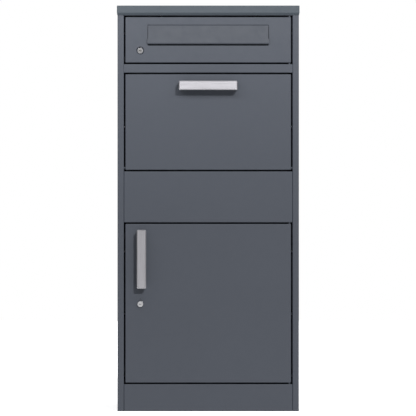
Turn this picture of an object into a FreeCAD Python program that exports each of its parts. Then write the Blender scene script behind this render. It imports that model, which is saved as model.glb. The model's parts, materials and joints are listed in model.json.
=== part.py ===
"""Parcel drop box: a sheet-metal cabinet with a mail door, a tilting parcel hatch and a parcel door.

Millimetres. +Z is up, the front faces -Y, and the origin is at the bottom centre of the whole box,
handles included. Every sheet is one folded solid. Each moving group turns on real pins.
"""
import FreeCAD, Part
import math
import os

V = FreeCAD.Vector

# Overall size
HEIGHT = 1000.0
LID_WIDTH = 450.0
BODY_WIDTH = 447.2
BODY_DEPTH = 380.0
HANDLE_PROJECTION = 28.0

# Sheet metal
SHEET = 1.2
BEND = 0.8
STILE_WIDTH = 15.75
STILE_RETURN = 16.0
SIDE_BACK_FLANGE = 18.0
PANEL_FIT = 0.1
THROUGH = 5.0

# The front, from the ground up; a gap runs above each field
GAP = 3.5
PLINTH_HEIGHT = 67.0
PARCEL_DOOR_HEIGHT = 391.5
MIDDLE_PANEL_HEIGHT = 126.0
HATCH_HEIGHT = 236.0
UPPER_RAIL_HEIGHT = 21.5
MAIL_DOOR_HEIGHT = 112.5
DOOR_DEPTH = 15.0

# Lid
LID_LIP = 17.5
LID_BEVEL = 5.5
LID_OVERHANG = 6.0
LID_CORNER = 2.0
LID_TOP_EDGE = 1.6
HEAD_TOP = 997.0

# Hinges: one pin line behind the right door edge, one behind the hatch's lower edge
HINGE_INSET = 4.0
HINGE_SETBACK = 4.5
PIN_RADIUS = 2.3
RUNNING_CLEARANCE = 0.05
PIN_HOLE_RADIUS = 3.0
PIN_HEAD_RADIUS = 3.2
PIN_HEAD = 2.0
PIN_IN_RAIL = 10.0
PIN_IN_BLOCK = 10.8
BLOCK_SIZE = (15.0, 12.0, 12.0)
BLOCK_EDGE = 0.9
HATCH_PIVOT_RISE = 5.0

# Mail slot and flap
SLOT_HALF_WIDTH = 149.5
SLOT_BOTTOM = 901.5
SLOT_TOP = 953.0
SLOT_CORNER = 2.5
FLAP_SIDE_GAP = 1.2
FLAP_AXIS_SETBACK = 3.2
FLAP_AXIS_Z = 949.5
FLAP_BARREL_RADIUS = 3.4
FLAP_ROD_RADIUS = 1.5
FLAP_LEAN = 4.4
FLAP_WIDE_TOP = 918.0
FLAP_OVERLAP = 0.8
FLAP_BOTTOM = 904.6
FLAP_CURL = 4.35
FLAP_CURL_BEND = 2.6
FLAP_BUSH_START = 146.0
FLAP_BUSH_LENGTH = 18.0
HOOD_OVERHANG = 2.5
HOOD_RISE = 3.0
HOOD_DEPTH = 34.0
HOOD_LIP = (8.0, 30.0)

# Cam locks
MAIL_LOCK = (-167.6, 889.2)
PARCEL_LOCK = (-167.4, 264.3)
LOCK_BARREL_RADIUS = 6.0
LOCK_PLUG_RADIUS = 4.75
LOCK_BARREL_END = 16.0
CAM_SETBACK = 17.0
CAM_THICKNESS = 2.0
CAM_WIDTH = 14.0
CAM_REACH = 46.0
KEYWAY = (6.4, 2.2, 6.0)
NUT_ACROSS_FLATS = 16.0
NUT_THICKNESS = 4.0
CAM_SQUARE = 3.0
CAM_SCREW_RADIUS = 1.5
CAM_SCREW_GRIP = 7.0
CAM_SCREW_HEAD = (4.2, 2.4)
CROSS_SLOT = (2.4, 0.5, 1.2)
PLUG_STANDS_OUT = 0.3
DISH_RADIUS = 10.0
DISH_FLOOR_RADIUS = 7.5
DISH_DEPTH = 5.4
MAIL_LOCK_SINK = 3.4
PARCEL_FLANGE_RADIUS = 7.0
PARCEL_LOCK_PROJECTION = 5.0
INDICATOR_HOLE_RADIUS = 1.6
INDICATOR_RISE = 9.6

# Hatch tray
HATCH_FLOOR_SLOPE = 25.0
HATCH_FLOOR_LENGTH = 140.0
HATCH_OPEN_ANGLE = 50.0
CHEEK_RADIUS = 228.0
CHEEK_REAR_ANGLE = 15.0
STOP_PIN_RADIUS = 3.0
STOP_PIN_LEVEL = 180.0
STOP_GAP = 0.3
STOP_PIN_LENGTH = 8.0
FOOT_WIDTH = 14.0
CHEEK_RIVETS = (25.0, 75.0, 125.0)
CHEEK_RIVET_HEAD = (3.2, 1.0)
FLOOR_BEND = 3.0
PIVOT_BLOCK = (14.0, 10.6, 11.5)

# Bar handles
HANDLE_LENGTH = 144.6
HANDLE_WIDTH = 22.7
HANDLE_BAR = 9.0
HANDLE_LEG = 12.0
HANDLE_BEVEL = 2.0
HANDLE_CORNER = 3.2
HATCH_HANDLE_CENTRE = (0.0, 803.0)
DOOR_HANDLE_CENTRE = (-164.0, 375.1)
HANDLE_SCREW_RADIUS = 2.5
HANDLE_SCREW_HEAD = 4.5
HANDLE_SCREW_DEPTH = 14.0
HANDLE_SCREW_HEAD_HEIGHT = 2.8

# Fixing holes
WALL_HOLES = (320.0, 760.0)
WALL_HOLE_RADIUS = 4.25
WALL_HOLES_CENTRE_Z = 500.0
FLOOR_HOLES = (340.0, 260.0)
FLOOR_HOLE_RADIUS = 5.25
FLOOR_HOLES_CENTRE_Y = 20.0
RIVET_RADIUS = 1.6
RIVET_HEAD = (3.2, 1.2)
FIRST_RIVET = 70
RIVET_PITCH = 160
TOP_RIVET = 950

# Inside the cabinet
BASE_FLANGE = 25.0
SHELF_FLANGE = 18.0
RAIL_LIP_HALF_WIDTH = 190.0
RAIL_LIP_DROP = 12.5
MIDDLE_RETURN = 12.0
PIVOT_PIN_END = 190.0
BAFFLE_HALF_WIDTH = 200.0
BAFFLE_SETBACK = 250.0
BAFFLE_BEND_Z = 665.0
BAFFLE_BOTTOM = 650.0
REAR_RAIL_DROP = 47.0
REAR_RAIL_DEPTH = 24.0
LID_STUD_X = 120.0
LID_STUD_INSETS = (8.0, 14.0)
LID_STUD_RADIUS = 2.0
LID_STUD_BELOW = 10.0
LID_NUT = (7.0, 3.2)
STRIKE_DROP = 16.0
STRIKE_HEIGHT = 28.0
BRACKET_HEIGHT = 14.0
BRACKET_FOOT = 44.0
BRACKET_END = 196.0
BUFFER_RADIUS = 4.0
HATCH_BUFFER_X = 160.0
STIFFENER_HALF_WIDTH = 20.0
STIFFENER_FOOT = 14.0
STIFFENER_CROWN = 13.0
STIFFENER_INSET = 18.0

# Derived places
FRONT = HANDLE_PROJECTION - (BODY_DEPTH + HANDLE_PROJECTION) / 2
BACK = FRONT + BODY_DEPTH
SIDE = BODY_WIDTH / 2
WALL_INSIDE = SIDE - SHEET
OPENING = SIDE - STILE_WIDTH
DOOR_EDGE = OPENING - GAP
DOOR_INSIDE = DOOR_EDGE - SHEET
FIELD_EDGE = OPENING - PANEL_FIT

PARCEL_DOOR_BOTTOM = PLINTH_HEIGHT + GAP
PARCEL_DOOR_TOP = PARCEL_DOOR_BOTTOM + PARCEL_DOOR_HEIGHT
MIDDLE_BOTTOM = PARCEL_DOOR_TOP + GAP
MIDDLE_TOP = MIDDLE_BOTTOM + MIDDLE_PANEL_HEIGHT
HATCH_BOTTOM = MIDDLE_TOP + GAP
HATCH_TOP = HATCH_BOTTOM + HATCH_HEIGHT
RAIL_BOTTOM = HATCH_TOP + GAP
RAIL_TOP = RAIL_BOTTOM + UPPER_RAIL_HEIGHT
MAIL_DOOR_BOTTOM = RAIL_TOP + GAP
MAIL_DOOR_TOP = MAIL_DOOR_BOTTOM + MAIL_DOOR_HEIGHT
HEAD_BOTTOM = MAIL_DOOR_TOP + GAP

HINGE_X = DOOR_EDGE - HINGE_INSET
HINGE_Y = FRONT + HINGE_SETBACK
HATCH_PIVOT_Z = HATCH_BOTTOM + HATCH_PIVOT_RISE
LID_INSIDE_TOP = HEIGHT - SHEET
SHELF_TOP = RAIL_TOP - SHEET
BACK_FLANGE_FRONT = BACK - 2 * SHEET
BUFFER_FRONT = FRONT + DOOR_DEPTH + 0.3
STOP_FACE = BUFFER_FRONT + 3.0
RAIL_LIP = FRONT + 19.2
SHEET_CLEAR = BEND + 0.2

PLANES = {
    "xy": (V(1, 0, 0), V(0, 1, 0), V(0, 0, 1)),
    "yz": (V(0, 1, 0), V(0, 0, 1), V(1, 0, 0)),
}
AXES = {"x": V(1, 0, 0), "y": V(0, 1, 0), "z": V(0, 0, 1)}


# ---------------------------------------------------------------- helpers

def box(x0, x1, y0, y1, z0, z1):
    return Part.makeBox(x1 - x0, y1 - y0, z1 - z0, V(x0, y0, z0))


def rod(axis, x, y, z, radius, length):
    """A cylinder that starts at a point and runs along +x, +y or +z."""
    return Part.makeCylinder(radius, length, V(x, y, z), AXES[axis])


def hole(axis, x, y, z, radius):
    """A cutter that goes right through a sheet at a point."""
    start = V(x, y, z) - AXES[axis] * THROUGH
    return Part.makeCylinder(radius, 2 * THROUGH, start, AXES[axis])


def ring(axis, x, y, z, outer, inner, length):
    return rod(axis, x, y, z, outer, length).cut(rod(axis, x, y, z, inner, length))


def mirrored(shape):
    """The same piece on the other side of the box."""
    return shape.mirror(V(0, 0, 0), V(1, 0, 0))


def pair(shape):
    return Part.makeCompound([shape, mirrored(shape)])


def group(shapes):
    return Part.makeCompound(shapes)


def edges_where(shape, test):
    return [edge for edge in shape.Edges if test(edge)]


def along(edge, axis):
    """Whether a straight edge runs along an axis vector."""
    if len(edge.Vertexes) != 2:
        return False
    span = edge.Vertexes[1].Point.sub(edge.Vertexes[0].Point)
    return span.Length > 1e-6 and abs(abs(span.dot(axis)) - span.Length) < 1e-6


def on_plane(edge, axis, level):
    return all(abs(vertex.Point.dot(axis) - level) < 1e-6 for vertex in edge.Vertexes)


def round_rim(shape, level):
    """The circular edge of a turned piece that lies at one depth."""
    return edges_where(shape, lambda edge: on_plane(edge, AXES["y"], level) and len(edge.Vertexes) == 1)


def rounded_box(bounds, axis, level, radius):
    """A box with its edges rounded on one face and along that face's normal."""
    solid = box(*bounds)
    chosen = edges_where(solid, lambda edge: along(edge, axis) or on_plane(edge, axis, level))
    return solid.makeFillet(radius, chosen)


def front_pan(half_width, z0, z1, depth):
    """A front sheet with four returns folded back and welded at the corners."""
    axis = AXES["y"]
    outer = rounded_box((-half_width, half_width, FRONT, FRONT + depth, z0, z1), axis, FRONT, BEND + SHEET)
    inside = half_width - SHEET
    inner = rounded_box((-inside, inside, FRONT + SHEET, FRONT + 2 * depth, z0 + SHEET, z1 - SHEET),
                        axis, FRONT + SHEET, BEND)
    return outer.cut(inner)


def flat_pan(half_width, y0, y1, face_z, edge_z):
    """A level sheet at face_z with four flanges folded towards edge_z."""
    axis = AXES["z"]
    step = SHEET if edge_z > face_z else -SHEET
    past_edge = 2 * edge_z - face_z
    low, high = sorted((face_z, edge_z))
    inner_low, inner_high = sorted((face_z + step, past_edge))
    outer = rounded_box((-half_width, half_width, y0, y1, low, high), axis, face_z, BEND + SHEET)
    inside = half_width - SHEET
    inner = rounded_box((-inside, inside, y0 + SHEET, y1 - SHEET, inner_low, inner_high),
                        axis, face_z + step, BEND)
    return outer.cut(inner)


def unit(start, end):
    return end.sub(start).normalize()


def left_of(direction):
    return V(-direction.y, direction.x, 0)


def offset_path(points, distance):
    """A path moved sideways to its left, its corners still sharp."""
    directions = [unit(start, end) for start, end in zip(points, points[1:])]
    moved = [points[0] + left_of(directions[0]) * distance]
    for corner, arriving, leaving in zip(points[1:], directions, directions[1:]):
        bisector = left_of(arriving) + left_of(leaving)
        moved.append(corner + bisector * (distance / (1 + arriving.dot(leaving))))
    moved.append(points[-1] + left_of(directions[-1]) * distance)
    return moved


def rounded_path(points, radii, place):
    """Edges along a path whose corners are rounded with tangent arcs."""
    edges = []

    def add_line(start, end):
        if start.distanceToPoint(end) > 1e-6:
            edges.append(Part.LineSegment(place(start), place(end)).toShape())

    cursor = points[0]
    for before, corner, after, radius in zip(points, points[1:], points[2:], radii):
        arriving = unit(before, corner)
        leaving = unit(corner, after)
        half_turn = arriving.getAngle(leaving) / 2
        setback = radius * math.tan(half_turn)
        start = corner - arriving * setback
        end = corner + leaving * setback
        middle = corner + (leaving - arriving).normalize() * (radius / math.cos(half_turn) - radius)
        add_line(cursor, start)
        edges.append(Part.Arc(place(start), place(middle), place(end)).toShape())
        cursor = end
    add_line(cursor, points[-1])
    return edges


def folded(points, plane, start, length, bends=None):
    """A sheet folded along a path in a plane, its thickness to the path's left, drawn out for a length.

    bends holds each corner's inside radius.
    """
    path = [V(u, v, 0) for u, v in points]
    bends = bends or [BEND] * (len(path) - 2)
    right_radii = []
    left_radii = []
    for before, corner, after, bend in zip(path, path[1:], path[2:], bends):
        turns_left = unit(before, corner).cross(unit(corner, after)).z > 0
        right_radii.append(bend + SHEET if turns_left else bend)
        left_radii.append(bend if turns_left else bend + SHEET)
    u_axis, v_axis, normal = PLANES[plane]

    def place(point):
        return u_axis * point.x + v_axis * point.y + normal * start

    far_side = offset_path(path, SHEET)
    edges = rounded_path(path, right_radii, place) + rounded_path(far_side, left_radii, place)
    edges.append(Part.LineSegment(place(path[0]), place(far_side[0])).toShape())
    edges.append(Part.LineSegment(place(path[-1]), place(far_side[-1])).toShape())
    face = Part.Face(Part.Wire(Part.__sortEdges__(edges)))
    return face.extrude(normal * length)


def hexagon(x, y, z, across_flats, length):
    """A hexagonal bar along +y."""
    corner = across_flats / math.sqrt(3)
    points = []
    for step in range(7):
        angle = math.radians(60 * step)
        points.append(V(x + corner * math.cos(angle), y, z + corner * math.sin(angle)))
    return Part.Face(Part.makePolygon(points)).extrude(V(0, length, 0))


# ---------------------------------------------------------------- cabinet

def side_panel():
    """Left side: wall, front stile and the stile's return, folded from one sheet."""
    panel = folded([
        (-SIDE, BACK - SHEET),
        (-SIDE, FRONT),
        (-OPENING, FRONT),
        (-OPENING, FRONT + STILE_RETURN),
    ], "xy", 0, HEAD_TOP)
    return panel.cut(hole("x", -OPENING, HINGE_Y, HATCH_PIVOT_Z, PIN_RADIUS))


def rear_flange():
    """Left strip welded inside the wall's rear edge, which the back panel is riveted to."""
    strip = box(-WALL_INSIDE, -SIDE + SIDE_BACK_FLANGE, BACK_FLANGE_FRONT, BACK - SHEET, 0, HEAD_TOP)
    for x, z in rivet_places():
        if x < 0:
            strip = strip.cut(hole("y", x, BACK_FLANGE_FRONT, z, RIVET_RADIUS))
    return strip


def rivet_places():
    levels = [FIRST_RIVET + RIVET_PITCH * step for step in range(6)] + [TOP_RIVET]
    return [(side * (SIDE - SIDE_BACK_FLANGE / 2), z) for side in (-1, 1) for z in levels]


def back_panel():
    panel = box(-SIDE, SIDE, BACK - SHEET, BACK, 0, HEAD_TOP)
    for x, z in wall_hole_places():
        panel = panel.cut(hole("y", x, BACK, z, WALL_HOLE_RADIUS))
    for x, z in rivet_places():
        panel = panel.cut(hole("y", x, BACK, z, RIVET_RADIUS))
    return panel


def wall_hole_places():
    half_x = WALL_HOLES[0] / 2
    half_z = WALL_HOLES[1] / 2
    return [(sx * half_x, WALL_HOLES_CENTRE_Z + sz * half_z) for sx in (-1, 1) for sz in (-1, 1)]


def back_panel_rivets():
    """Rivets set flush behind, with a domed head inside."""
    head_radius, head = RIVET_HEAD
    crown = BACK_FLANGE_FRONT - head
    rivets = []
    for x, z in rivet_places():
        dome = rod("y", x, crown, z, head_radius, head)
        dome = dome.makeFillet(0.8, round_rim(dome, crown))
        rivets.append(dome.fuse(rod("y", x, BACK_FLANGE_FRONT, z, RIVET_RADIUS, 2 * SHEET)))
    return group(rivets)


def base_panel():
    panel = flat_pan(WALL_INSIDE - PANEL_FIT, FRONT + STILE_RETURN + 1, BACK_FLANGE_FRONT, 0, BASE_FLANGE)
    for sx in (-1, 1):
        for sy in (-1, 1):
            x = sx * FLOOR_HOLES[0] / 2
            y = FLOOR_HOLES_CENTRE_Y + sy * FLOOR_HOLES[1] / 2
            panel = panel.cut(hole("z", x, y, 0, FLOOR_HOLE_RADIUS))
    return panel


def lid_outline(half_width, y0, y1, z, radius):
    """A level rectangle with its two front corners rounded."""
    frame = box(-half_width, half_width, y0, y1, z, z + 1)
    frame = frame.makeFillet(radius, edges_where(frame, lambda edge: along(edge, AXES["z"])
                                                 and not on_plane(edge, AXES["y"], y1)))
    bottom = [face for face in frame.Faces if abs(face.CenterOfMass.z - z) < 1e-6][0]
    return bottom.OuterWire


def lid_body(half_width, bottom_half_width, fronts, back, levels, radius):
    """A lid volume: straight above the middle level, bevelled in towards the bottom level."""
    bottom, middle, top = levels
    low = lid_outline(bottom_half_width, fronts[0], back, bottom, radius)
    high = lid_outline(half_width, fronts[1], back, middle, radius)
    bevel = Part.makeLoft([low, high], True, True)
    upper = Part.Face(high).extrude(V(0, 0, top - middle))
    return upper.fuse(bevel).removeSplitter()


def lid():
    """A folded cap, open at the back. Its lip stands proud of the front and turns in below."""
    half = LID_WIDTH / 2
    bottom = HEIGHT - LID_LIP - LID_BEVEL
    middle = HEIGHT - LID_LIP
    front = FRONT - LID_OVERHANG
    outer = lid_body(half, half - 0.9, (FRONT - 1.7, front), BACK, (bottom, middle, HEIGHT), LID_CORNER)
    outer = outer.makeFillet(LID_TOP_EDGE, edges_where(outer, lambda edge: on_plane(edge, AXES["z"], HEIGHT)
                                                       and not on_plane(edge, AXES["y"], BACK)))
    inner_half = half - SHEET - 0.05
    inner = lid_body(inner_half, inner_half, (FRONT - 0.3, front + SHEET), BACK + 5,
                     (bottom, middle + 0.5, LID_INSIDE_TOP), LID_CORNER - SHEET)
    return outer.cut(inner)


def lid_stud_places():
    front, back = LID_STUD_INSETS
    return [(x, y) for y in (FRONT + front, BACK - back) for x in (-LID_STUD_X, LID_STUD_X)]


def lid_fixings():
    """Studs welded under the lid, each with its nut."""
    pieces = []
    stud_bottom = HEAD_TOP - LID_STUD_BELOW
    for x, y in lid_stud_places():
        stud = rod("z", x, y, stud_bottom, LID_STUD_RADIUS, LID_INSIDE_TOP - stud_bottom)
        nut = hexagon(0, 0, 0, *LID_NUT)
        nut.rotate(V(0, 0, 0), V(1, 0, 0), -90)
        nut.translate(V(x, y, HEAD_TOP - SHEET))
        nut = nut.cut(stud)
        pieces += [stud, nut]
    return group(pieces)


def head_rail():
    """Front cross rail under the lid, which holds the mail door's upper pin."""
    rail = front_pan(FIELD_EDGE, HEAD_BOTTOM, HEAD_TOP, STILE_RETURN)
    rail = rail.cut(hole("z", HINGE_X, HINGE_Y, HEAD_BOTTOM, PIN_RADIUS))
    for x, y in lid_stud_places():
        rail = rail.cut(hole("z", x, y, HEAD_TOP, LID_STUD_RADIUS))
    return rail


def rear_rail():
    """Rear cross rail: an angle under the lid, fixed to the back panel."""
    half = SIDE - SIDE_BACK_FLANGE - 0.2
    rail = folded([
        (BACK - SHEET, HEAD_TOP - REAR_RAIL_DROP),
        (BACK - SHEET, HEAD_TOP),
        (BACK - REAR_RAIL_DEPTH, HEAD_TOP),
    ], "yz", -half, 2 * half)
    for x, y in lid_stud_places():
        rail = rail.cut(hole("z", x, y, HEAD_TOP, LID_STUD_RADIUS))
    return rail


def upper_rail():
    """Rail between the mail door and the hatch. Its rear lip is the hatch's stop."""
    rail = folded([
        (RAIL_LIP, RAIL_TOP),
        (FRONT, RAIL_TOP),
        (FRONT, RAIL_BOTTOM),
        (RAIL_LIP, RAIL_BOTTOM),
        (RAIL_LIP, RAIL_BOTTOM - RAIL_LIP_DROP),
    ], "yz", -FIELD_EDGE, 2 * FIELD_EDGE)
    notch = box(RAIL_LIP_HALF_WIDTH, SIDE, FRONT + STILE_RETURN, RAIL_LIP + THROUGH,
                RAIL_BOTTOM - 20, RAIL_BOTTOM + 4)
    rail = rail.cut(notch)
    rail = rail.cut(mirrored(notch))
    return rail.cut(hole("z", HINGE_X, HINGE_Y, RAIL_TOP, PIN_RADIUS))


def middle_panel():
    """Fixed field between the hatch and the parcel door; it holds the door's upper pin."""
    panel = front_pan(FIELD_EDGE, MIDDLE_BOTTOM, MIDDLE_TOP, MIDDLE_RETURN)
    return panel.cut(hole("z", HINGE_X, HINGE_Y, MIDDLE_BOTTOM, PIN_RADIUS))


def plinth():
    panel = front_pan(FIELD_EDGE, 0, PLINTH_HEIGHT, STILE_RETURN + 0.5)
    return panel.cut(hole("z", HINGE_X, HINGE_Y, PLINTH_HEIGHT, PIN_RADIUS))


def mail_shelf():
    """Floor of the mail compartment, with a tongue under the upper rail's flange."""
    shelf = flat_pan(WALL_INSIDE - PANEL_FIT, FRONT + STILE_RETURN + 1, BACK_FLANGE_FRONT - 0.2,
                     SHELF_TOP, SHELF_TOP - SHELF_FLANGE)
    tongue = box(-RAIL_LIP_HALF_WIDTH, RAIL_LIP_HALF_WIDTH, FRONT + 6, FRONT + STILE_RETURN + 6,
                 SHELF_TOP - SHEET, SHELF_TOP)
    return shelf.fuse(tongue).removeSplitter()


def anti_theft_baffle():
    """Hangs behind the hatch's sweep, so that an arm can't reach past the open tray."""
    face = FRONT + BAFFLE_SETBACK
    return folded([
        (face + 20, SHELF_TOP - SHEET),
        (face, SHELF_TOP - SHEET),
        (face, BAFFLE_BEND_Z),
        (face + 14, BAFFLE_BOTTOM),
    ], "yz", -BAFFLE_HALF_WIDTH, 2 * BAFFLE_HALF_WIDTH)


def strike(lock):
    """Bearing plate for a cam, on the hidden side of the left stile's return."""
    plate = FRONT + STILE_RETURN + 0.4
    inner = -OPENING - SHEET
    path = [(inner, FRONT + 4), (inner, plate), (-WALL_INSIDE + 1, plate)]
    return folded(path, "xy", lock[1] - STRIKE_DROP, STRIKE_HEIGHT)


def door_pins(door_bottom, door_top):
    """Lower and upper hinge pins of a door, each headed inside its rail."""
    below = door_bottom - GAP - SHEET - PIN_IN_RAIL
    lower = rod("z", HINGE_X, HINGE_Y, below, PIN_RADIUS, door_bottom + SHEET + PIN_IN_BLOCK - below)
    lower = lower.fuse(rod("z", HINGE_X, HINGE_Y, below - PIN_HEAD, PIN_HEAD_RADIUS, PIN_HEAD))
    above = door_top + GAP + SHEET + PIN_IN_RAIL
    start = door_top - SHEET - PIN_IN_BLOCK
    upper = rod("z", HINGE_X, HINGE_Y, start, PIN_RADIUS, above - start)
    upper = upper.fuse(rod("z", HINGE_X, HINGE_Y, above, PIN_HEAD_RADIUS, PIN_HEAD))
    return group([lower, upper])


def hatch_pivot_pins():
    """Pins through the stile returns, headed inside the stiles."""
    outer = -OPENING - SHEET - SHEET_CLEAR
    pin = rod("x", outer, HINGE_Y, HATCH_PIVOT_Z, PIN_RADIUS, -PIVOT_PIN_END - outer)
    head = rod("x", outer - PIN_HEAD, HINGE_Y, HATCH_PIVOT_Z, PIN_HEAD_RADIUS, PIN_HEAD)
    return pair(pin.fuse(head))


def stop_levels():
    """Heights of the three door stops: one for the mail door, two for the parcel door."""
    return (MAIL_DOOR_BOTTOM + 10, PARCEL_DOOR_BOTTOM + 34, PARCEL_DOOR_TOP - 30)


def door_stop_brackets():
    brackets = []
    for z in stop_levels():
        path = [
            (-WALL_INSIDE, FRONT + BRACKET_FOOT),
            (-WALL_INSIDE, STOP_FACE),
            (-BRACKET_END, STOP_FACE),
        ]
        brackets.append(folded(path, "xy", z - BRACKET_HEIGHT / 2, BRACKET_HEIGHT))
    return group(brackets)


def door_buffers():
    centre = -DOOR_INSIDE + 0.6
    length = STOP_FACE - BUFFER_FRONT
    return group([rod("y", centre, BUFFER_FRONT, z, BUFFER_RADIUS, length) for z in stop_levels()])


def hatch_buffers():
    length = RAIL_LIP - BUFFER_FRONT
    return pair(rod("y", -HATCH_BUFFER_X, BUFFER_FRONT, HATCH_TOP - 3, BUFFER_RADIUS, length))


# ---------------------------------------------------------------- doors and their parts

def pivot_blocks(door_bottom, door_top):
    """Nylon blocks in a door's two hinge corners."""
    width, depth, height = BLOCK_SIZE
    right = DOOR_INSIDE - 0.05
    blocks = []
    for z in (door_bottom + SHEET, door_top - SHEET - height):
        block = box(right - width, right, FRONT + SHEET, FRONT + SHEET + depth, z, z + height)
        block = block.makeFillet(BLOCK_EDGE, block.Edges)
        bore = rod("z", HINGE_X, HINGE_Y, z - 1, PIN_RADIUS + RUNNING_CLEARANCE, height + 2)
        blocks.append(block.cut(bore))
    return group(blocks)


def door_tray(door_bottom, door_top):
    """A door skin with clearance holes for its hinge pins."""
    tray = front_pan(DOOR_EDGE, door_bottom, door_top, DOOR_DEPTH)
    for z in (door_bottom, door_top):
        tray = tray.cut(hole("z", HINGE_X, HINGE_Y, z, PIN_HOLE_RADIUS))
    return tray


def cone(lock, y0, y1, r0, r1):
    return Part.makeCone(r0, r1, y1 - y0, V(lock[0], y0, lock[1]), AXES["y"])


def mail_door_skin():
    tray = door_tray(MAIL_DOOR_BOTTOM, MAIL_DOOR_TOP)
    half = SLOT_HALF_WIDTH
    slot = box(-half, half, FRONT - THROUGH, FRONT + THROUGH, SLOT_BOTTOM, SLOT_TOP)
    slot = slot.makeFillet(SLOT_CORNER, edges_where(slot, lambda edge: along(edge, AXES["y"])))
    tray = tray.cut(slot)
    slant = (DISH_RADIUS - DISH_FLOOR_RADIUS) / DISH_DEPTH
    wall = SHEET * math.hypot(1, slant)
    dish_back = FRONT + DISH_DEPTH + SHEET
    back_radius = DISH_RADIUS + wall - slant * (DISH_DEPTH + SHEET)
    tray = tray.fuse(cone(MAIL_LOCK, FRONT, dish_back, DISH_RADIUS + wall, back_radius)).removeSplitter()
    tray = tray.cut(cone(MAIL_LOCK, FRONT, FRONT + DISH_DEPTH, DISH_RADIUS, DISH_FLOOR_RADIUS))
    return tray.cut(hole("y", MAIL_LOCK[0], FRONT + DISH_DEPTH, MAIL_LOCK[1], LOCK_BARREL_RADIUS))


def mail_slot_hood():
    """Rain and reach guard behind the slot; its two ears carry the flap's rod."""
    half = SLOT_HALF_WIDTH + HOOD_OVERHANG
    under = SLOT_TOP + HOOD_RISE
    back = FRONT + HOOD_DEPTH
    lip_reach, lip_drop = HOOD_LIP
    hood = folded([
        (FRONT + SHEET, under + 10),
        (FRONT + SHEET, under),
        (back, under),
        (back + lip_reach, under - lip_drop),
    ], "yz", -half, 2 * half)
    for side in (-1, 1):
        near, far = sorted((side * (half - SHEET), side * half))
        ear = box(near, far, FRONT + SHEET + 0.1, FRONT + 14, FLAP_AXIS_Z - 6, under + SHEET / 2)
        hood = hood.fuse(ear)
    return hood.cut(flap_rod_shape(FLAP_ROD_RADIUS)).removeSplitter()


def flap_rod_shape(radius):
    half = SLOT_HALF_WIDTH + HOOD_OVERHANG + 1
    return rod("x", -half, FRONT + FLAP_AXIS_SETBACK, FLAP_AXIS_Z, radius, 2 * half)


def mail_flap():
    """Flap rolled round its rod at the top. It leans out, is wider at its foot and ends in a curled edge."""
    half = SLOT_HALF_WIDTH - FLAP_SIDE_GAP
    wide_half = SLOT_HALF_WIDTH + FLAP_OVERLAP
    axis_y = FRONT + FLAP_AXIS_SETBACK
    face = axis_y - FLAP_BARREL_RADIUS
    top = FLAP_AXIS_Z + FLAP_BARREL_RADIUS
    roll = FLAP_BARREL_RADIUS - SHEET
    flap = folded([
        (axis_y + FLAP_BARREL_RADIUS, FLAP_AXIS_Z - 0.5),
        (axis_y + FLAP_BARREL_RADIUS, top),
        (face, top),
        (face - FLAP_LEAN, FLAP_BOTTOM),
        (face - FLAP_LEAN + FLAP_CURL, FLAP_BOTTOM),
    ], "yz", -wide_half, 2 * wide_half, [roll, roll, FLAP_CURL_BEND])
    for x0, x1 in ((-wide_half - 1, -half), (half, wide_half + 1)):
        flap = flap.cut(box(x0, x1, face - 10, BACK, FLAP_WIDE_TOP, HEIGHT))
    corner_z = FLAP_BOTTOM + SLOT_CORNER
    for side in (-1, 1):
        x0, x1 = sorted((side * (wide_half - SLOT_CORNER), side * (wide_half + 1)))
        corner = box(x0, x1, face - 10, FRONT + 2, FLAP_BOTTOM - 1, corner_z)
        rounding = rod("y", side * (wide_half - SLOT_CORNER), face - 11, corner_z, SLOT_CORNER, 30)
        flap = flap.cut(corner.cut(rounding))
    return flap


def mail_flap_bushes():
    outer = FLAP_BARREL_RADIUS - SHEET
    inner = FLAP_ROD_RADIUS + RUNNING_CLEARANCE
    axis_y = FRONT + FLAP_AXIS_SETBACK
    return pair(ring("x", -FLAP_BUSH_START, axis_y, FLAP_AXIS_Z, outer, inner, FLAP_BUSH_LENGTH))


def lock_housing(lock, flange_front, flange_back, flange_radius):
    x, z = lock
    flange = rod("y", x, flange_front, z, flange_radius, flange_back - flange_front)
    flange = flange.makeFillet(0.6, round_rim(flange, flange_front))
    barrel = rod("y", x, flange_back, z, LOCK_BARREL_RADIUS, FRONT + LOCK_BARREL_END - flange_back)
    bore = rod("y", x, flange_front - 1, z, LOCK_PLUG_RADIUS + RUNNING_CLEARANCE, 40)
    return flange.fuse(barrel).cut(bore).removeSplitter()


def lock_nut(lock, front):
    x, z = lock
    nut = hexagon(x, front, z, NUT_ACROSS_FLATS, NUT_THICKNESS)
    return nut.cut(hole("y", x, front, z, LOCK_BARREL_RADIUS))


def lock_plug(lock, front):
    """Turning plug with a keyway in front and a square end for the cam."""
    x, z = lock
    cam_front = FRONT + CAM_SETBACK
    plug = rod("y", x, front, z, LOCK_PLUG_RADIUS, cam_front - front)
    plug = plug.fuse(cam_square(lock, cam_front - 1, cam_front + CAM_THICKNESS))
    width, height, depth = KEYWAY
    keyway = box(x - width / 2, x + width / 2, front - 1, front + depth, z - height / 2, z + height / 2)
    return plug.cut(keyway).cut(cam_screw_shank(lock)).removeSplitter()


def cam_square(lock, y0, y1):
    """The square drive between a plug and its cam."""
    x, z = lock
    return box(x - CAM_SQUARE, x + CAM_SQUARE, y0, y1, z - CAM_SQUARE, z + CAM_SQUARE)


def cam_screw_shank(lock):
    cam_back = FRONT + CAM_SETBACK + CAM_THICKNESS
    return rod("y", lock[0], cam_back - CAM_SCREW_GRIP, lock[1], CAM_SCREW_RADIUS, CAM_SCREW_GRIP)


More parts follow.
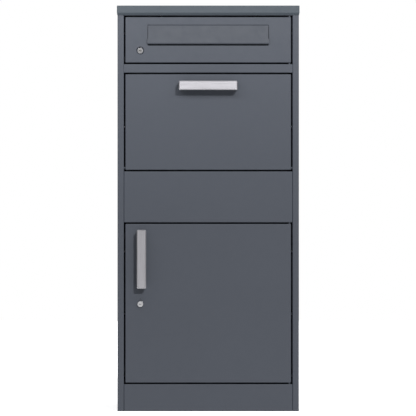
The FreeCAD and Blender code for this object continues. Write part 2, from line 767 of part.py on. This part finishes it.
def lock_cam(lock):
    """Cam that points up when unlocked and turns to the left, behind the stile, when locked."""
    x, z = lock
    front = FRONT + CAM_SETBACK
    half = CAM_WIDTH / 2
    cam = box(x - half, x + half, front, front + CAM_THICKNESS, z - half, z + CAM_REACH)
    cam = cam.makeFillet(half - 1.5, edges_where(cam, lambda edge: along(edge, AXES["y"])))
    return cam.cut(cam_square(lock, front - 1, front + THROUGH))


def cam_screw(lock):
    x, z = lock
    cam_back = FRONT + CAM_SETBACK + CAM_THICKNESS
    head_radius, head_height = CAM_SCREW_HEAD
    reach, half, floor = CROSS_SLOT
    head = rod("y", x, cam_back, z, head_radius, head_height)
    y0, y1 = cam_back + floor, cam_back + THROUGH
    cross = box(x - reach, x + reach, y0, y1, z - half, z + half)
    upright = box(x - half, x + half, y0, y1, z - reach, z + reach)
    return head.cut(cross).cut(upright).fuse(cam_screw_shank(lock))


def handle(centre, upright):
    """Bar handle on two legs, lying along x and turned up on end where it is upright."""
    half = HANDLE_LENGTH / 2
    half_width = HANDLE_WIDTH / 2
    face = FRONT - HANDLE_PROJECTION
    bar = box(-half, half, face, face + HANDLE_BAR, -half_width, half_width)
    bar = bar.makeFillet(HANDLE_CORNER, edges_where(bar, lambda edge: along(edge, AXES["y"])))
    rim = edges_where(bar, lambda edge: on_plane(edge, AXES["y"], face))
    bar = bar.makeChamfer(HANDLE_BEVEL, rim)
    solid = bar
    for side in (-1, 1):
        near, far = sorted((side * (half - HANDLE_LEG), side * (half - 1)))
        leg = box(near, far, face + HANDLE_BAR - 1, FRONT, 1 - half_width, half_width - 1)
        solid = solid.fuse(leg)
    solid = solid.removeSplitter()
    for x in screw_offsets():
        solid = solid.cut(rod("y", x, FRONT - HANDLE_SCREW_DEPTH, 0, HANDLE_SCREW_RADIUS, HANDLE_SCREW_DEPTH))
    return placed(solid, centre, upright)


def screw_offsets():
    offset = HANDLE_LENGTH / 2 - (HANDLE_LEG + 1) / 2
    return (-offset, offset)


def placed(shape, centre, upright):
    moved = shape.copy()
    if upright:
        moved.rotate(V(0, 0, 0), V(0, 1, 0), 90)
    moved.translate(V(centre[0], 0, centre[1]))
    return moved


def handle_screws(centre, upright):
    screws = []
    tip = FRONT - HANDLE_SCREW_DEPTH + 1
    head_front = FRONT + SHEET
    for x in screw_offsets():
        head = rod("y", x, head_front, 0, HANDLE_SCREW_HEAD, HANDLE_SCREW_HEAD_HEIGHT)
        head = head.makeFillet(1.2, round_rim(head, head_front + HANDLE_SCREW_HEAD_HEIGHT))
        shank = rod("y", x, tip, 0, HANDLE_SCREW_RADIUS, head_front - tip)
        screws.append(head.fuse(shank))
    return placed(group(screws), centre, upright)


def handle_screw_holes(centre, upright):
    holes = [hole("y", x, FRONT, 0, HANDLE_SCREW_RADIUS) for x in screw_offsets()]
    return placed(group(holes), centre, upright)


# ---------------------------------------------------------------- hatch

def floor_path():
    """Underside of the hatch's sloping floor, from the front return to its rear edge."""
    bend_y = FRONT + DOOR_DEPTH + 1
    start_z = HATCH_BOTTOM + SHEET
    slope = math.radians(HATCH_FLOOR_SLOPE)
    end = (bend_y + HATCH_FLOOR_LENGTH * math.cos(slope), start_z - HATCH_FLOOR_LENGTH * math.sin(slope))
    return [(bend_y - 5, start_z), (bend_y, start_z), end]


def floor_point(distance, drop):
    """A point at a distance down the slope and a drop below the floor's underside."""
    slope = math.radians(HATCH_FLOOR_SLOPE)
    start = floor_path()[1]
    return (start[0] + distance * math.cos(slope) - drop * math.sin(slope),
            start[1] - distance * math.sin(slope) - drop * math.cos(slope))


def hatch_front():
    tray = front_pan(DOOR_EDGE, HATCH_BOTTOM, HATCH_TOP, DOOR_DEPTH)
    tray = tray.cut(rod("x", -SIDE, HINGE_Y, HATCH_PIVOT_Z, PIN_HOLE_RADIUS, 2 * SIDE))
    return tray.cut(handle_screw_holes(HATCH_HANDLE_CENTRE, False))


def cheek_rivets():
    """Rivets through the floor and the left cheek's foot."""
    slope = math.radians(HATCH_FLOOR_SLOPE)
    up = V(0, math.sin(slope), math.cos(slope))
    rivets = []
    head_radius, head = CHEEK_RIVET_HEAD
    for distance in CHEEK_RIVETS:
        y, z = floor_point(distance, SHEET)
        base = V(-DOOR_INSIDE + (SHEET + FOOT_WIDTH) / 2, y, z)
        shank = Part.makeCylinder(RIVET_RADIUS, 2 * SHEET, base, up)
        rivets.append(shank.fuse(Part.makeCylinder(head_radius, head, base - up * head, up)))
    return group(rivets)


def hatch_cheek():
    """Left side of the hatch's tray: a sector about the pivot, with a foot under the floor."""
    pivot = V(0, HINGE_Y, HATCH_PIVOT_Z)

    def on_arc(angle):
        turn = math.radians(angle)
        return pivot + V(0, math.cos(turn), math.sin(turn)) * CHEEK_RADIUS

    front = FRONT + SHEET + SHEET_CLEAR
    low = HATCH_BOTTOM + SHEET + SHEET_CLEAR
    top_angle = 90 + math.degrees(math.asin((HINGE_Y - front) / CHEEK_RADIUS))
    step = FRONT + DOOR_DEPTH + 1.5
    notch_top = HATCH_PIVOT_Z + PIN_HOLE_RADIUS + 1
    notch_back = HINGE_Y + PIN_HOLE_RADIUS + 1
    corners = [V(0, front, notch_top), V(0, notch_back, notch_top), V(0, notch_back, low), V(0, step, low)]
    corners.append(V(0, step, HATCH_BOTTOM - 0.5))
    corners.append(V(0, *floor_point(HATCH_FLOOR_LENGTH - 2, SHEET)))
    corners.append(on_arc(CHEEK_REAR_ANGLE))
    edges = [Part.LineSegment(start, end).toShape() for start, end in zip(corners, corners[1:])]
    middle = on_arc((CHEEK_REAR_ANGLE + top_angle) / 2)
    edges.append(Part.Arc(corners[-1], middle, on_arc(top_angle)).toShape())
    edges.append(Part.LineSegment(on_arc(top_angle), corners[0]).toShape())
    plate = Part.Face(Part.Wire(edges)).extrude(V(SHEET, 0, 0))
    plate.translate(V(-DOOR_INSIDE, 0, 0))
    foot_corners = [floor_point(8, 0), floor_point(HATCH_FLOOR_LENGTH - 4, 0),
                    floor_point(HATCH_FLOOR_LENGTH - 4, SHEET), floor_point(8, SHEET), floor_point(8, 0)]
    foot = Part.Face(Part.makePolygon([V(0, y, z) for y, z in foot_corners])).extrude(V(FOOT_WIDTH, 0, 0))
    foot.translate(V(-DOOR_INSIDE, 0, 0))
    return plate.fuse(foot).removeSplitter().cut(cheek_rivets())


def hatch_floor():
    half = DOOR_INSIDE - SHEET - 0.1
    floor = folded(floor_path(), "yz", -half, 2 * half, [FLOOR_BEND])
    holes = cheek_rivets()
    return floor.cut(holes).cut(mirrored(holes))


def hatch_rivets():
    return pair(cheek_rivets())


def hatch_pivot_blocks():
    width, back, top = PIVOT_BLOCK
    left = -DOOR_INSIDE + SHEET + 0.05
    block = box(left, left + width, FRONT + SHEET, FRONT + back, HATCH_BOTTOM + SHEET, HATCH_BOTTOM + top)
    block = block.makeFillet(BLOCK_EDGE, block.Edges)
    bore = rod("x", left - 1, HINGE_Y, HATCH_PIVOT_Z, PIN_RADIUS + RUNNING_CLEARANCE, width + 2)
    return pair(block.cut(bore))


def hatch_stop_pins():
    """Pins on the cheeks that meet the backs of the stile returns when the hatch is fully open."""
    open_y = FRONT + STILE_RETURN + STOP_GAP + STOP_PIN_RADIUS - HINGE_Y
    reach = math.hypot(open_y, STOP_PIN_LEVEL)
    angle = math.atan2(STOP_PIN_LEVEL, open_y) - math.radians(HATCH_OPEN_ANGLE)
    y = HINGE_Y + reach * math.cos(angle)
    z = HATCH_PIVOT_Z + reach * math.sin(angle)
    return pair(rod("x", -DOOR_INSIDE - STOP_PIN_LENGTH, y, z, STOP_PIN_RADIUS, STOP_PIN_LENGTH))


# ---------------------------------------------------------------- parcel door

def parcel_door_skin():
    tray = door_tray(PARCEL_DOOR_BOTTOM, PARCEL_DOOR_TOP)
    x, z = PARCEL_LOCK
    tray = tray.cut(hole("y", x, FRONT, z, LOCK_BARREL_RADIUS))
    tray = tray.cut(hole("y", x, FRONT, z + INDICATOR_RISE, INDICATOR_HOLE_RADIUS))
    return tray.cut(handle_screw_holes(DOOR_HANDLE_CENTRE, True))


def parcel_door_stiffener():
    back = FRONT + SHEET
    crown = FRONT + STIFFENER_CROWN
    near = STIFFENER_HALF_WIDTH
    far = near + STIFFENER_FOOT
    path = [(-far, back), (-near, back), (-near, crown), (near, crown), (near, back), (far, back)]
    return folded(path, "xy", PARCEL_DOOR_BOTTOM + STIFFENER_INSET, PARCEL_DOOR_HEIGHT - 2 * STIFFENER_INSET)


# ---------------------------------------------------------------- all pieces

def pieces():
    left_side = side_panel()
    left_rear_flange = rear_flange()
    left_cheek = hatch_cheek()
    mail_flange_front = FRONT + MAIL_LOCK_SINK
    mail_flange_back = FRONT + DISH_DEPTH
    mail_flange_radius = DISH_FLOOR_RADIUS - 0.2
    parcel_flange_front = FRONT - PARCEL_LOCK_PROJECTION
    return {
        "side_panel_left": left_side,
        "side_panel_right": mirrored(left_side),
        "rear_flange_left": left_rear_flange,
        "rear_flange_right": mirrored(left_rear_flange),
        "back_panel": back_panel(),
        "base_panel": base_panel(),
        "lid": lid(),
        "lid_fixings": lid_fixings(),
        "head_rail": head_rail(),
        "rear_rail": rear_rail(),
        "upper_rail": upper_rail(),
        "middle_panel": middle_panel(),
        "plinth": plinth(),
        "mail_shelf": mail_shelf(),
        "anti_theft_baffle": anti_theft_baffle(),
        "mail_lock_strike": strike(MAIL_LOCK),
        "parcel_lock_strike": strike(PARCEL_LOCK),
        "mail_door_hinge_pins": door_pins(MAIL_DOOR_BOTTOM, MAIL_DOOR_TOP),
        "parcel_door_hinge_pins": door_pins(PARCEL_DOOR_BOTTOM, PARCEL_DOOR_TOP),
        "hatch_pivot_pins": hatch_pivot_pins(),
        "door_stop_brackets": door_stop_brackets(),
        "door_buffers": door_buffers(),
        "hatch_buffers": hatch_buffers(),
        "back_panel_rivets": back_panel_rivets(),
        "mail_door_skin": mail_door_skin(),
        "mail_door_pivot_blocks": pivot_blocks(MAIL_DOOR_BOTTOM, MAIL_DOOR_TOP),
        "mail_slot_hood": mail_slot_hood(),
        "mail_flap_rod": flap_rod_shape(FLAP_ROD_RADIUS),
        "mail_lock_housing": lock_housing(MAIL_LOCK, mail_flange_front, mail_flange_back, mail_flange_radius),
        "mail_lock_nut": lock_nut(MAIL_LOCK, mail_flange_back + SHEET),
        "mail_flap": mail_flap(),
        "mail_flap_bushes": mail_flap_bushes(),
        "mail_lock_plug": lock_plug(MAIL_LOCK, mail_flange_front - PLUG_STANDS_OUT),
        "mail_lock_cam": lock_cam(MAIL_LOCK),
        "mail_lock_cam_screw": cam_screw(MAIL_LOCK),
        "hatch_front": hatch_front(),
        "hatch_cheek_left": left_cheek,
        "hatch_cheek_right": mirrored(left_cheek),
        "hatch_floor": hatch_floor(),
        "hatch_rivets": hatch_rivets(),
        "hatch_pivot_blocks": hatch_pivot_blocks(),
        "hatch_stop_pins": hatch_stop_pins(),
        "hatch_handle": handle(HATCH_HANDLE_CENTRE, False),
        "hatch_handle_screws": handle_screws(HATCH_HANDLE_CENTRE, False),
        "parcel_door_skin": parcel_door_skin(),
        "parcel_door_stiffener": parcel_door_stiffener(),
        "parcel_door_pivot_blocks": pivot_blocks(PARCEL_DOOR_BOTTOM, PARCEL_DOOR_TOP),
        "parcel_door_handle": handle(DOOR_HANDLE_CENTRE, True),
        "parcel_door_handle_screws": handle_screws(DOOR_HANDLE_CENTRE, True),
        "parcel_lock_housing": lock_housing(PARCEL_LOCK, parcel_flange_front, FRONT, PARCEL_FLANGE_RADIUS),
        "parcel_lock_nut": lock_nut(PARCEL_LOCK, FRONT + SHEET),
        "parcel_lock_plug": lock_plug(PARCEL_LOCK, parcel_flange_front - PLUG_STANDS_OUT),
        "parcel_lock_cam": lock_cam(PARCEL_LOCK),
        "parcel_lock_cam_screw": cam_screw(PARCEL_LOCK),
    }


os.makedirs("parts", exist_ok=True)
for name, shape in pieces().items():
    shape.exportStep("parts/" + name + ".step")
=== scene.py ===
"""Looks of the parcel drop box: finishes, floor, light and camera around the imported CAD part."""

import json
import math

import bpy
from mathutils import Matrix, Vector


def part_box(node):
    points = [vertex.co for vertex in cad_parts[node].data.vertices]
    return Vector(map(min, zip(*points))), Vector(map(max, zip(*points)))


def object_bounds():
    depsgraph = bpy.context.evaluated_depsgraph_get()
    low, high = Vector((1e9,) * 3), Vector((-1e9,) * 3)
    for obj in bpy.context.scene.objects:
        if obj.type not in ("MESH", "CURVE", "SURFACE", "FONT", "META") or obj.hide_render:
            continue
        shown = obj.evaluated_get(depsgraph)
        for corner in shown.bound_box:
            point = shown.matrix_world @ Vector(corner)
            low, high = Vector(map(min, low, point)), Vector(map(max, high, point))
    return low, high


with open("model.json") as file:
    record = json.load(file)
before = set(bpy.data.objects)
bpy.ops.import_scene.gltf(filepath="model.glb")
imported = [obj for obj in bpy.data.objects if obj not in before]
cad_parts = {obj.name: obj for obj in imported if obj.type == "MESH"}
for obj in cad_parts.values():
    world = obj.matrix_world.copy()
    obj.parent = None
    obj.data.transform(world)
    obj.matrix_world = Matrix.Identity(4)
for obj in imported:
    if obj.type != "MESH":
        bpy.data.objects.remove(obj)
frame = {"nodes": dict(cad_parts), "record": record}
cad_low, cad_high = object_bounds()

# ------------------------------------------------------------------ measures

FRONT_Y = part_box("parcel_door_skin")[0][1]
BACK_Y = cad_high[1]
TOP_Z = cad_high[2]

# camera, straight in front; the field width is what the frame takes in at the front face
CAMERA_DISTANCE = 9.0
CAMERA_REACH = 100.0
FIELD_WIDTH = 1.0255
SENSOR_WIDTH = 36.0
VIEW_CENTRE_X = -0.0005
VIEW_CENTRE_Z = 0.5012

# light: a studio sky, a key light from the upper right, and a strip in front of the lid, a little above it
BACKDROP_STRENGTH = 1.0
HORIZON_STRENGTH = 0.26
ZENITH_STRENGTH = 0.95
ZENITH_START = 0.8
KEY_DIRECTION = Vector((0.34, -1.0, 0.52))
KEY_DISTANCE = 3
KEY_STRENGTH = 3.8
KEY_ANGLE = math.radians(2.5)
TOP_LIGHT_X = -0.06
TOP_LIGHT_REACH = 0.42
TOP_LIGHT_RISE = 0.09
TOP_LIGHT_AIM_Z = 0.8
TOP_LIGHT_SIZE = (1.3, 0.10)
TOP_LIGHT_POWER = 5.4
WHITE = (1.0, 1.0, 1.0, 1.0)

# floor
FLOOR_HALF = 7.0
FLOOR_COLOUR = (0.82, 0.82, 0.82)
FLOOR_GLOW = 0.52

# finishes: base colours, and the scales of the noises, which grow as the pattern gets finer
BODY_COLOUR = (0.0250, 0.0288, 0.0370)
LID_COLOUR = (0.0240, 0.0305, 0.0375)
# painted shade: the flap's coat is darkened to cancel the extra light its outward lean catches
FLAP_PAINTED_SHADE = 0.87
ZINC_COLOUR = (0.60, 0.61, 0.63)
NICKEL_COLOUR = (0.375, 0.375, 0.385)
# painted shade: the lock nickel darkened for the mail lock, which sits sunk in its dish
PAINTED_SHADE_NICKEL_COLOUR = (0.19, 0.19, 0.20)
PAINTED_SHADE_PLUG_COLOUR = (0.18, 0.18, 0.18)
# painted shade: the nut is near black so the hole above the parcel lock, through which it shows, looks
# dark
NUT_PAINTED_SHADE_COLOUR = (0.012, 0.012, 0.012)
HANDLE_COLOUR = (0.298, 0.293, 0.311)
NYLON_COLOUR = (0.022, 0.022, 0.023)
RUBBER_COLOUR = (0.014, 0.014, 0.014)

DRIFT_SCALE = 3.1
# scale of the lighter patches on the edges, partly wear and partly painted highlight
EDGE_WEAR_AND_HIGHLIGHT_SCALE = 38.0
COAT_ROUGH_SCALE = 55.0
PEEL_SCALE = 420.0
COAT_GRAIN_SCALE = 1450.0
BRUSH_LINE_SCALE, BRUSH_LINE_ALONG = 2600.0, 26.0
BRUSH_BAND_SCALE, BRUSH_BAND_ALONG = 420.0, 9.0
BRUSH_ROUGH = (0.32, 0.42)
BRUSH_ANISOTROPY = 0.5
PLATE_TONE_SCALE = 90.0
CRYSTAL_SCALE = 260.0
PLATE_ROUGH_SCALE = 700.0
PIT_SCALE = 1800.0
MOULD_TONE_SCALE = 70.0
MOULD_ROUGH_SCALE = 300.0
FLOOR_TONE_SCALE = 1.3

COAT_EDGE_RADIUS = 0.0012
MOULD_EDGE_RADIUS = 0.0008
EDGE_SAMPLES = 4
EDGE_FLAT, EDGE_TURNED = 0.995, 0.86


# ------------------------------------------------------------------ node helpers

class Graph:
    """A material with one Principled shader, and short calls that add nodes to it."""

    SOCKETS = {"colour": "Base Color", "metal": "Metallic", "rough": "Roughness", "normal": "Normal",
               "specular": "Specular IOR Level", "anisotropy": "Anisotropic", "tangent": "Tangent"}

    def __init__(self, name):
        self.material = bpy.data.materials.new(name)
        self.material.use_nodes = True
        self.tree = self.material.node_tree
        self.shader = self.tree.nodes["Principled BSDF"]
        coordinates = self.tree.nodes.new("ShaderNodeTexCoord")
        self.place = coordinates.outputs["Object"]

    def link(self, source, target):
        self.tree.links.new(source, target)

    def scaled(self, scale):
        """Object coordinates stretched by a factor along each axis."""
        node = self.tree.nodes.new("ShaderNodeMapping")
        node.inputs["Scale"].default_value = scale
        self.link(self.place, node.inputs["Vector"])
        return node.outputs["Vector"]

    def noise(self, scale, detail=2.0, roughness=0.5, place=None):
        node = self.tree.nodes.new("ShaderNodeTexNoise")
        node.inputs["Scale"].default_value = scale
        node.inputs["Detail"].default_value = detail
        node.inputs["Roughness"].default_value = roughness
        self.link(place or self.place, node.inputs["Vector"])
        return node.outputs["Fac"]

    def cells(self, scale):
        node = self.tree.nodes.new("ShaderNodeTexVoronoi")
        node.inputs["Scale"].default_value = scale
        self.link(self.place, node.inputs["Vector"])
        return node.outputs["Color"]

    def range(self, source, low, high, new_low, new_high):
        node = self.tree.nodes.new("ShaderNodeMapRange")
        node.inputs["From Min"].default_value = low
        node.inputs["From Max"].default_value = high
        node.inputs["To Min"].default_value = new_low
        node.inputs["To Max"].default_value = new_high
        self.link(source, node.inputs["Value"])
        return node.outputs["Result"]

    def ramp(self, source, *stops):
        node = self.tree.nodes.new("ShaderNodeValToRGB")
        ramp = node.color_ramp
        while len(ramp.elements) < len(stops):
            ramp.elements.new(0.5)
        for element, (position, colour) in zip(ramp.elements, stops):
            element.position = position
            element.color = (*colour, 1.0)
        self.link(source, node.inputs["Fac"])
        return node.outputs["Color"]

    def mix(self, factor, first, second, blend="MIX"):
        node = self.tree.nodes.new("ShaderNodeMix")
        node.data_type = "RGBA"
        node.blend_type = blend
        self.set(node.inputs[0], factor)
        self.set(node.inputs[6], first)
        self.set(node.inputs[7], second)
        return node.outputs[2]

    def maths(self, operation, first, second):
        node = self.tree.nodes.new("ShaderNodeMath")
        node.operation = operation
        self.set(node.inputs[0], first)
        self.set(node.inputs[1], second)
        return node.outputs[0]

    def set(self, socket, value):
        if isinstance(value, bpy.types.NodeSocket):
            self.link(value, socket)
        elif isinstance(value, tuple) and len(value) == 3:
            socket.default_value = (*value, 1.0)
        else:
            socket.default_value = value

    def bump(self, height, distance, strength, below=None):
        node = self.tree.nodes.new("ShaderNodeBump")
        node.inputs["Distance"].default_value = distance
        node.inputs["Strength"].default_value = strength
        self.link(height, node.inputs["Height"])
        if below is not None:
            self.link(below, node.inputs["Normal"])
        return node.outputs["Normal"]

    def edges(self, radius):
        """Near 1 where the surface turns within the radius, 0 on flat sheet."""
        bevel = self.tree.nodes.new("ShaderNodeBevel")
        bevel.samples = EDGE_SAMPLES
        bevel.inputs["Radius"].default_value = radius
        geometry = self.tree.nodes.new("ShaderNodeNewGeometry")
        product = self.tree.nodes.new("ShaderNodeVectorMath")
        product.operation = "DOT_PRODUCT"
        self.link(bevel.outputs["Normal"], product.inputs[0])
        self.link(geometry.outputs["Normal"], product.inputs[1])
        return self.range(product.outputs["Value"], EDGE_FLAT, EDGE_TURNED, 0.0, 1.0)

    def finish(self, **sockets):
        for key, value in sockets.items():
            self.set(self.shader.inputs[self.SOCKETS[key]], value)
        return self.material


def shade(colour, factor):
    return tuple(part * factor for part in colour)


# ------------------------------------------------------------------ finishes

def powder_coat(name, colour):
    """Fine matt powder coat: orange peel, a fine grain, slow drifts of tone, and edges lighter in noisy
    patches, partly wear and partly a painted edge highlight.
    """
    g = Graph(name)
    drift = g.noise(DRIFT_SCALE, 3.0, 0.55)
    grain = g.noise(COAT_GRAIN_SCALE, 2.0, 0.6)
    tone = g.ramp(drift, (0.30, shade(colour, 0.965)), (0.70, shade(colour, 1.035)))
    grained = g.mix(g.range(grain, 0.35, 0.65, 0.0, 0.16), tone, shade(colour, 1.35))
    # painted highlight mixed with wear: every turned edge is lightened a little, and more in noisy patches
    patches = g.range(g.noise(EDGE_WEAR_AND_HIGHLIGHT_SCALE, 3.0, 0.6), 0.38, 0.62, 0.10, 0.55)
    edge_wear_and_highlight = g.mix(g.maths("MULTIPLY", g.edges(COAT_EDGE_RADIUS), patches), grained, shade(colour, 1.7))
    peel = g.noise(PEEL_SCALE, 1.0, 0.5)
    relief = g.bump(peel, 0.00008, 0.25, g.bump(grain, 0.00003, 0.25))
    rough = g.range(g.noise(COAT_ROUGH_SCALE, 3.0, 0.6), 0.3, 0.7, 0.50, 0.62)
    return g.finish(colour=edge_wear_and_highlight, rough=rough, specular=0.2, normal=relief)


def drawn_out(across, along_scale, axis):
    """Noise scales for a pattern that is stretched along one axis."""
    return [along_scale if each == axis else across for each in "XYZ"]


def brushed(name, colour, axis):
    """Satin metal brushed along one axis."""
    g = Graph(name)
    lines = g.noise(1.0, 3.0, 0.65, g.scaled(drawn_out(BRUSH_LINE_SCALE, BRUSH_LINE_ALONG, axis)))
    bands = g.noise(1.0, 2.0, 0.5, g.scaled(drawn_out(BRUSH_BAND_SCALE, BRUSH_BAND_ALONG, axis)))
    tone = g.ramp(bands, (0.30, shade(colour, 0.93)), (0.70, shade(colour, 1.05)))
    streaked = g.mix(g.range(lines, 0.35, 0.65, 0.0, 0.25), tone, shade(colour, 1.12))
    rough = g.range(lines, 0.3, 0.7, *BRUSH_ROUGH)
    tangent = g.tree.nodes.new("ShaderNodeTangent")
    tangent.direction_type = "RADIAL"
    tangent.axis = axis
    return g.finish(colour=streaked, metal=1.0, rough=rough, anisotropy=BRUSH_ANISOTROPY,
                    tangent=tangent.outputs["Tangent"], normal=g.bump(lines, 0.00002, 0.25))


def satin_metal(name, colour, rough_low, rough_high, spangle=0.0):
    """Plated metal with fine pits, small tone changes and, for zinc, faint crystals."""
    g = Graph(name)
    drift = g.noise(PLATE_TONE_SCALE, 3.0, 0.6)
    tone = g.ramp(drift, (0.3, shade(colour, 0.95)), (0.7, shade(colour, 1.04)))
    crystals = g.mix(spangle, tone, g.cells(CRYSTAL_SCALE), "SOFT_LIGHT")
    rough = g.range(g.noise(PLATE_ROUGH_SCALE, 2.0, 0.6), 0.3, 0.7, rough_low, rough_high)
    pits = g.bump(g.noise(PIT_SCALE), 0.00001, 0.12)
    return g.finish(colour=crystals, metal=1.0, rough=rough, normal=pits)


def moulded(name, colour, rough_low, rough_high, grain_scale):
    """Moulded nylon or rubber: fine grain, and edges paler where they rub."""
    g = Graph(name)
    drift = g.noise(MOULD_TONE_SCALE, 3.0, 0.6)
    tone = g.ramp(drift, (0.3, shade(colour, 0.85)), (0.7, shade(colour, 1.2)))
    rubbed = g.mix(g.maths("MULTIPLY", g.edges(MOULD_EDGE_RADIUS), 0.4), tone, shade(colour, 2.2))
    rough = g.range(g.noise(MOULD_ROUGH_SCALE, 2.0, 0.6), 0.3, 0.7, rough_low, rough_high)
    grain = g.bump(g.noise(grain_scale, 2.0, 0.6), 0.00006, 0.4)
    return g.finish(colour=rubbed, rough=rough, normal=grain)


FINISHES = {
    "powder_coat": powder_coat("powder_coat_anthracite", BODY_COLOUR),
    "zinc_steel": satin_metal("bright_zinc_plate", ZINC_COLOUR, 0.26, 0.42, 0.25),
    "lock_metal": satin_metal("satin_nickel", NICKEL_COLOUR, 0.28, 0.34),
    "handle_metal": brushed("brushed_steel_across", HANDLE_COLOUR, "X"),
    "nylon": moulded("black_nylon", NYLON_COLOUR, 0.42, 0.58, 900.0),
    "rubber": moulded("black_rubber", RUBBER_COLOUR, 0.70, 0.88, 500.0),
}
# nodes whose finish differs from the rest of their slot
NODE_FINISHES = {
    "lid": powder_coat("powder_coat_lid", LID_COLOUR),
    # painted shade: the body coat darkened for the leaning flap
    "mail_flap": powder_coat("powder_coat_flap_painted_shade", shade(BODY_COLOUR, FLAP_PAINTED_SHADE)),
    # painted shade: the mail lock gets the same nickel, darkened
    "mail_lock_housing": satin_metal("painted_shade_nickel", PAINTED_SHADE_NICKEL_COLOUR, 0.30, 0.38),
    "mail_lock_plug": satin_metal("painted_shade_nickel_plug", PAINTED_SHADE_PLUG_COLOUR, 0.30, 0.38),
    # painted shade: the nut seen through the hole above the parcel lock is coloured near black
    "parcel_lock_nut": satin_metal("nut_painted_shade_black", NUT_PAINTED_SHADE_COLOUR, 0.45, 0.55),
    "parcel_door_handle": brushed("brushed_steel_upright", HANDLE_COLOUR, "Z"),
}

for subpart in frame["record"]["subparts"]:
    node = frame["nodes"][subpart["node"]]
    finish = NODE_FINISHES.get(subpart["node"], FINISHES[subpart["material_slot"]])
    for material_slot in node.material_slots:
        material_slot.material = finish


# ------------------------------------------------------------------ floor

def make_floor():
    near = (FRONT_Y + BACK_Y) / 2 - FLOOR_HALF
    far = near + 2 * FLOOR_HALF
    corners = [(-FLOOR_HALF, near, 0.0), (FLOOR_HALF, near, 0.0),
               (FLOOR_HALF, far, 0.0), (-FLOOR_HALF, far, 0.0)]
    mesh = bpy.data.meshes.new("studio_floor")
    mesh.from_pydata(corners, [], [(0, 1, 2, 3)])
    floor = bpy.data.objects.new("studio_floor", mesh)
    bpy.context.scene.collection.objects.link(floor)
    g = Graph("studio_floor")
    drift = g.noise(FLOOR_TONE_SCALE, 2.0, 0.5)
    tone = g.ramp(drift, (0.3, shade(FLOOR_COLOUR, 0.99)), (0.7, FLOOR_COLOUR))
    g.shader.inputs["Emission Color"].default_value = WHITE
    g.shader.inputs["Emission Strength"].default_value = FLOOR_GLOW
    mesh.materials.append(g.finish(colour=tone, rough=0.9, specular=0.1))


make_floor()


# ------------------------------------------------------------------ light

def make_world():
    """White to the camera. What lights the part is dimmer at the horizon than overhead, as in a studio."""
    world = bpy.data.worlds.new("studio")
    world.use_nodes = True
    tree = world.node_tree
    lighting = tree.nodes["Background"]
    direction = tree.nodes.new("ShaderNodeTexCoord")
    parts = tree.nodes.new("ShaderNodeSeparateXYZ")
    rise = tree.nodes.new("ShaderNodeMapRange")
    rise.inputs["From Min"].default_value = 0.0
    rise.inputs["From Max"].default_value = ZENITH_START
    rise.inputs["To Min"].default_value = HORIZON_STRENGTH
    rise.inputs["To Max"].default_value = ZENITH_STRENGTH
    tree.links.new(direction.outputs["Generated"], parts.inputs[0])
    tree.links.new(parts.outputs["Z"], rise.inputs["Value"])
    tree.links.new(rise.outputs["Result"], lighting.inputs["Strength"])
    lighting.inputs["Color"].default_value = WHITE
    backdrop = tree.nodes.new("ShaderNodeBackground")
    backdrop.inputs["Color"].default_value = WHITE
    backdrop.inputs["Strength"].default_value = BACKDROP_STRENGTH
    paths = tree.nodes.new("ShaderNodeLightPath")
    choice = tree.nodes.new("ShaderNodeMixShader")
    tree.links.new(paths.outputs["Is Camera Ray"], choice.inputs[0])
    tree.links.new(lighting.outputs[0], choice.inputs[1])
    tree.links.new(backdrop.outputs[0], choice.inputs[2])
    tree.links.new(choice.outputs[0], tree.nodes["World Output"].inputs["Surface"])
    bpy.context.scene.world = world


def add_light(name, kind, position, aim):
    data = bpy.data.lights.new(name, kind)
    light = bpy.data.objects.new(name, data)
    light.location = position
    light.rotation_euler = (Vector(aim) - Vector(position)).to_track_quat("-Z", "Y").to_euler()
    light.visible_camera = False
    bpy.context.scene.collection.objects.link(light)
    return data


def make_lights():
    key = add_light("key", "SUN", KEY_DIRECTION * KEY_DISTANCE, (0.0, 0.0, 0.0))
    key.energy = KEY_STRENGTH
    key.angle = KEY_ANGLE
    top = add_light("top_strip", "AREA", (TOP_LIGHT_X, FRONT_Y - TOP_LIGHT_REACH, TOP_Z + TOP_LIGHT_RISE),
                    (0.0, FRONT_Y, TOP_LIGHT_AIM_Z))
    top.shape = "RECTANGLE"
    top.size, top.size_y = TOP_LIGHT_SIZE
    top.energy = TOP_LIGHT_POWER


make_world()
make_lights()


# ------------------------------------------------------------------ camera

def make_camera():
    data = bpy.data.cameras.new("front")
    data.sensor_width = SENSOR_WIDTH
    data.lens = SENSOR_WIDTH * CAMERA_DISTANCE / FIELD_WIDTH
    data.clip_end = CAMERA_REACH
    camera = bpy.data.objects.new("front", data)
    camera.location = (VIEW_CENTRE_X, FRONT_Y - CAMERA_DISTANCE, VIEW_CENTRE_Z)
    camera.rotation_euler = (math.pi / 2, 0.0, 0.0)
    bpy.context.scene.collection.objects.link(camera)
    bpy.context.scene.camera = camera


make_camera()
bpy.context.scene.view_settings.view_transform = "Standard"
bpy.context.scene.view_settings.look = "None"
